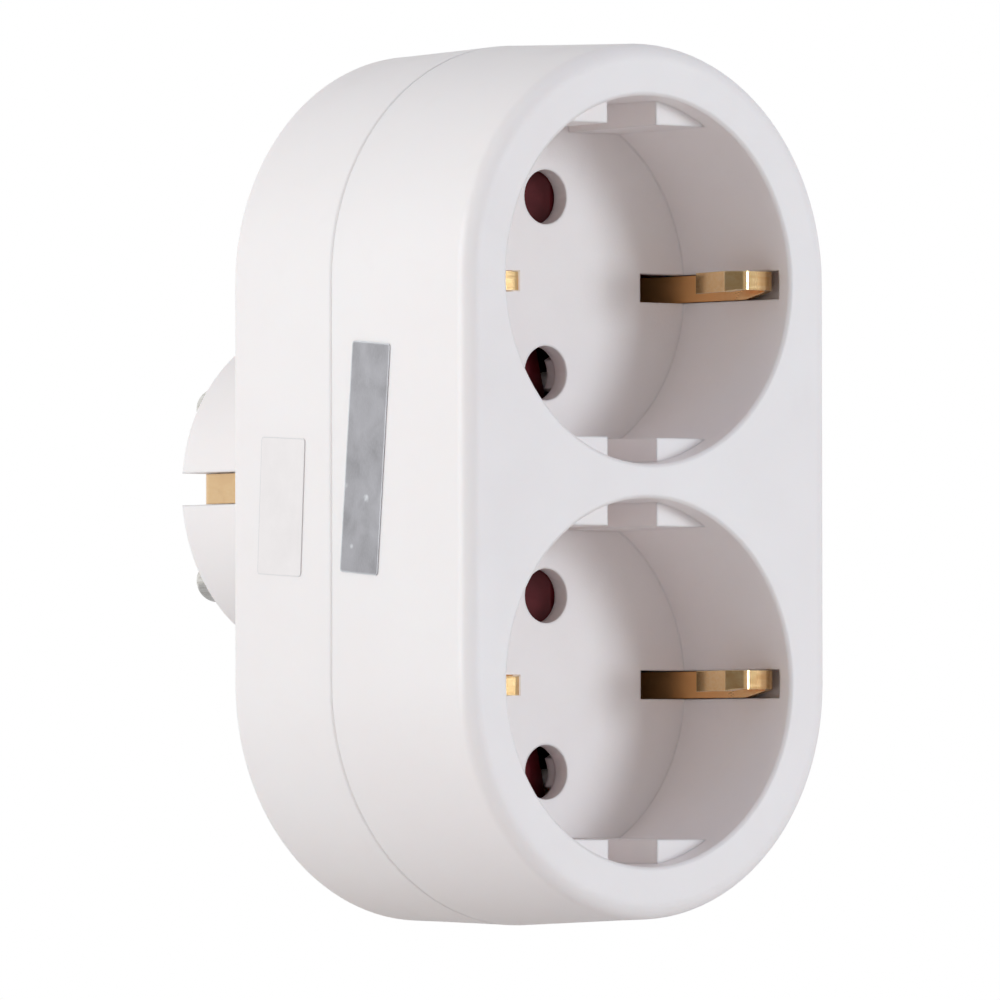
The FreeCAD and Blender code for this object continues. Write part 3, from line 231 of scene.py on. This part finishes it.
def cover_plastic():
    """Dull, nearly black plastic inside the adapter."""
    shader = Shader("cover_plastic", IOR=1.5)
    flow = shader.noise(5 * MM, 3.0, distortion=0.5)
    rounded = shader.rounded(0.15 * MM)
    patches = shader.ranged(flow, 0.3, 0.7, 0, 1)
    base = shader.mixed(patches, (0.014, 0.012, 0.012, 1), (0.022, 0.019, 0.018, 1))
    shader.link(shader.mixed(shader.edges(rounded), base, (0.05, 0.045, 0.042, 1)), "Base Color")
    shader.link(shader.ranged(flow, 0.3, 0.7, 0.5, 0.62), "Roughness")
    shader.link(shader.relief(shader.noise(0.3 * MM, 2.0), 0.015 * MM, rounded), "Normal")
    return shader.material


def label_foil():
    """Matt silver foil with fine grain, soft waves, bright spots that are partly scuffs and partly painted
    glare, and bright edges.
    """
    shader = Shader("label_foil", Metallic=0.75)
    grain = shader.noise(0.12 * MM, 2.0, shader.stretched((1, 1, 0.3)))
    cloud = shader.noise(4 * MM, 3.0, distortion=0.7)
    # Bright spots: partly scuffs and partly painted glare.
    scuffs_and_painted_glare = shader.maths("MULTIPLY", shader.spots(3.2 * MM, 0.16), shader.ranged(cloud, 0.5, 0.62, 0, 1))
    patches = shader.ranged(cloud, 0.3, 0.7, 0, 1)
    base = shader.mixed(patches, (0.265, 0.254, 0.264, 1), (0.345, 0.328, 0.341, 1))
    base = shader.mixed(shader.ranged(grain, 0.4, 0.65, 0, 0.3), base, (0.35, 0.345, 0.358, 1))
    base = shader.mixed(scuffs_and_painted_glare, base, (0.75, 0.75, 0.77, 1))
    edge = shader.edges(shader.rounded(0.3 * MM))
    shader.link(shader.mixed(edge, base, (0.66, 0.66, 0.68, 1)), "Base Color")
    shader.link(shader.ranged(cloud, 0.3, 0.7, 0.36, 0.52), "Roughness")
    waves = shader.relief(shader.noise(3 * MM, 2.0), 0.08 * MM)
    shader.link(shader.relief(grain, 0.008 * MM, waves), "Normal")
    return shader.material


def label_paper():
    """White paper with fibres, slightly uneven, with a painted shadow darkening its cut edges."""
    shader = Shader("label_paper")
    fibres = shader.noise(0.15 * MM, 4.0, distortion=1.2)
    cloud = shader.noise(3 * MM, 3.0)
    base = shader.mixed(shader.ranged(cloud, 0.3, 0.7, 0, 1), (0.82, 0.757, 0.742, 1), (0.86, 0.795, 0.78, 1))
    base = shader.mixed(shader.ranged(fibres, 0.55, 0.75, 0, 0.3), base, (0.77, 0.71, 0.69, 1))
    # Painted shadow: the cut edges are darkened to stand in for the thin shadow round the label.
    edge = shader.edges(shader.rounded(0.25 * MM))
    shader.link(shader.mixed(edge, base, (0.62, 0.6, 0.6, 1)), "Base Color")
    shader.link(shader.ranged(cloud, 0.3, 0.7, 0.55, 0.7), "Roughness")
    shader.link(shader.relief(fibres, 0.01 * MM), "Normal")
    return shader.material


def dress_nodes():
    """Gives every node the material of its slot in the record."""
    finishes = {
        "white_plastic": moulded_white(),
        "red_plastic": shutter_red(),
        "cover_plastic": cover_plastic(),
        "brass": rolled_brass(),
        "nickel": turned_nickel(),
        "steel": plated_steel(),
        "foil": label_foil(),
        "paper": label_paper(),
    }
    for part in frame["record"]["subparts"]:
        mesh = nodes[part["node"]].data
        mesh.materials.clear()
        mesh.materials.append(finishes[part["material_slot"]])


def add_floor():
    """A plain pale disc a little below the adapter."""
    low = cad_box[0][2] - FLOOR_GAP
    bpy.ops.mesh.primitive_circle_add(vertices=96, radius=0.45, fill_type="NGON", location=(*MIDDLE[:2], low))
    floor = bpy.context.object
    floor.name = "floor"
    shader = Shader("pale_floor", Roughness=0.8)
    cloud = shader.noise(40 * MM, 2.0)
    shader.link(shader.mixed(cloud, (0.9, 0.87, 0.85, 1), (0.93, 0.9, 0.88, 1)), "Base Color")
    # The camera sees the floor paler than it is, and the object's light stays the same.
    paler = shader.node("LightPath").outputs["Is Camera Ray"]
    shader.link(shader.maths("MULTIPLY", paler, 0.2), "Emission Strength")
    floor.data.materials.append(shader.material)


def add_softbox(name, place, width, height, power, colour):
    """A lamp of this width and height in metres, turned towards the adapter's middle."""
    data = bpy.data.lights.new(name, "AREA")
    data.shape = "RECTANGLE"
    data.size = width
    data.size_y = height
    data.energy = power
    data.color = colour
    lamp = bpy.data.objects.new(name, data)
    bpy.context.scene.collection.objects.link(lamp)
    lamp.location = place
    lamp.rotation_euler = (Vector(place) - Vector(MIDDLE)).to_track_quat("Z", "Y").to_euler()


def add_world():
    """An even room that lights the adapter, and a white backdrop for the camera and for reflections."""
    world = bpy.data.worlds.new("studio")
    bpy.context.scene.world = world
    world.use_nodes = True
    world.node_tree.nodes.clear()
    studio = Nodes(world.node_tree)
    rays = studio.node("LightPath").outputs
    camera = rays["Is Camera Ray"]
    reflected = studio.maths("MAXIMUM", rays["Is Glossy Ray"], rays["Is Transmission Ray"])
    # In reflections the backdrop fades towards the front of the room, and most where the photographer
    # stands, at the left of the front.
    heading = studio.node("TexCoord").outputs["Generated"]
    away = studio.ranged(studio.agreement(heading, FRONT), -0.95, 0.3, 1.0, 0.42)
    clear = studio.ranged(studio.agreement(heading, PHOTOGRAPHER), 0.88, 0.965, 1.0, 0.25)
    white = studio.maths("MAXIMUM", camera, studio.maths("MULTIPLY", away, clear))
    backdrop = studio.node("Background", {"Color": (1, 1, 1, 1), "Strength": white})
    room = studio.node("Background", {"Color": (0.995, 1.0, 0.985, 1), "Strength": 0.44})
    seen = studio.maths("MAXIMUM", camera, reflected)
    mix = studio.node("MixShader", {"Fac": seen, 1: room.outputs[0], 2: backdrop.outputs[0]})
    studio.node("OutputWorld", {"Surface": mix.outputs[0]})


def add_light():
    """Three softboxes: one at the right of the front, one at the left and a weak one above."""
    add_softbox("key_softbox", (0.645, -1.295, 0.12),
                width=0.42, height=0.5, power=8.4, colour=(0.83, 0.925, 1.0))
    add_softbox("left_softbox", (-1.4, 0.3, 0.2),
                width=0.9, height=0.9, power=13.3, colour=(0.89, 0.965, 1.0))
    add_softbox("top_softbox", (0.1, -0.6, 1.2),
                width=1.0, height=1.0, power=1.6, colour=(0.42, 0.55, 1.0))
    add_world()


def add_camera():
    """The photograph's view: from the left of the front, a little below the middle, through a long lens."""
    yaw = math.radians(-39.370)
    pitch = math.radians(-1.414)
    roll = math.radians(-0.072)
    distance = 1.45753
    back = Vector((math.sin(yaw) * math.cos(pitch), -math.cos(yaw) * math.cos(pitch), math.sin(pitch)))
    right = (-back).cross(Vector((0, 0, 1))).normalized()
    up = right.cross(-back)
    target = Vector((0, -38 * MM, 0)) + right * -3.349 * MM + up * -1.628 * MM
    level = Matrix((right, up, back)).transposed()
    turned = (level @ Matrix.Rotation(roll, 3, "Z")).to_4x4()
    camera = bpy.data.objects.new("camera", bpy.data.cameras.new("camera"))
    bpy.context.scene.collection.objects.link(camera)
    camera.matrix_world = Matrix.Translation(target + back * distance) @ turned
    camera.data.sensor_width = 36
    camera.data.lens = 486.49
    camera.data.clip_start = 0.05
    camera.data.clip_end = 20
    bpy.context.scene.camera = camera


dress_nodes()
add_floor()
add_light()
add_camera()
bpy.context.scene.view_settings.view_transform = "Standard"
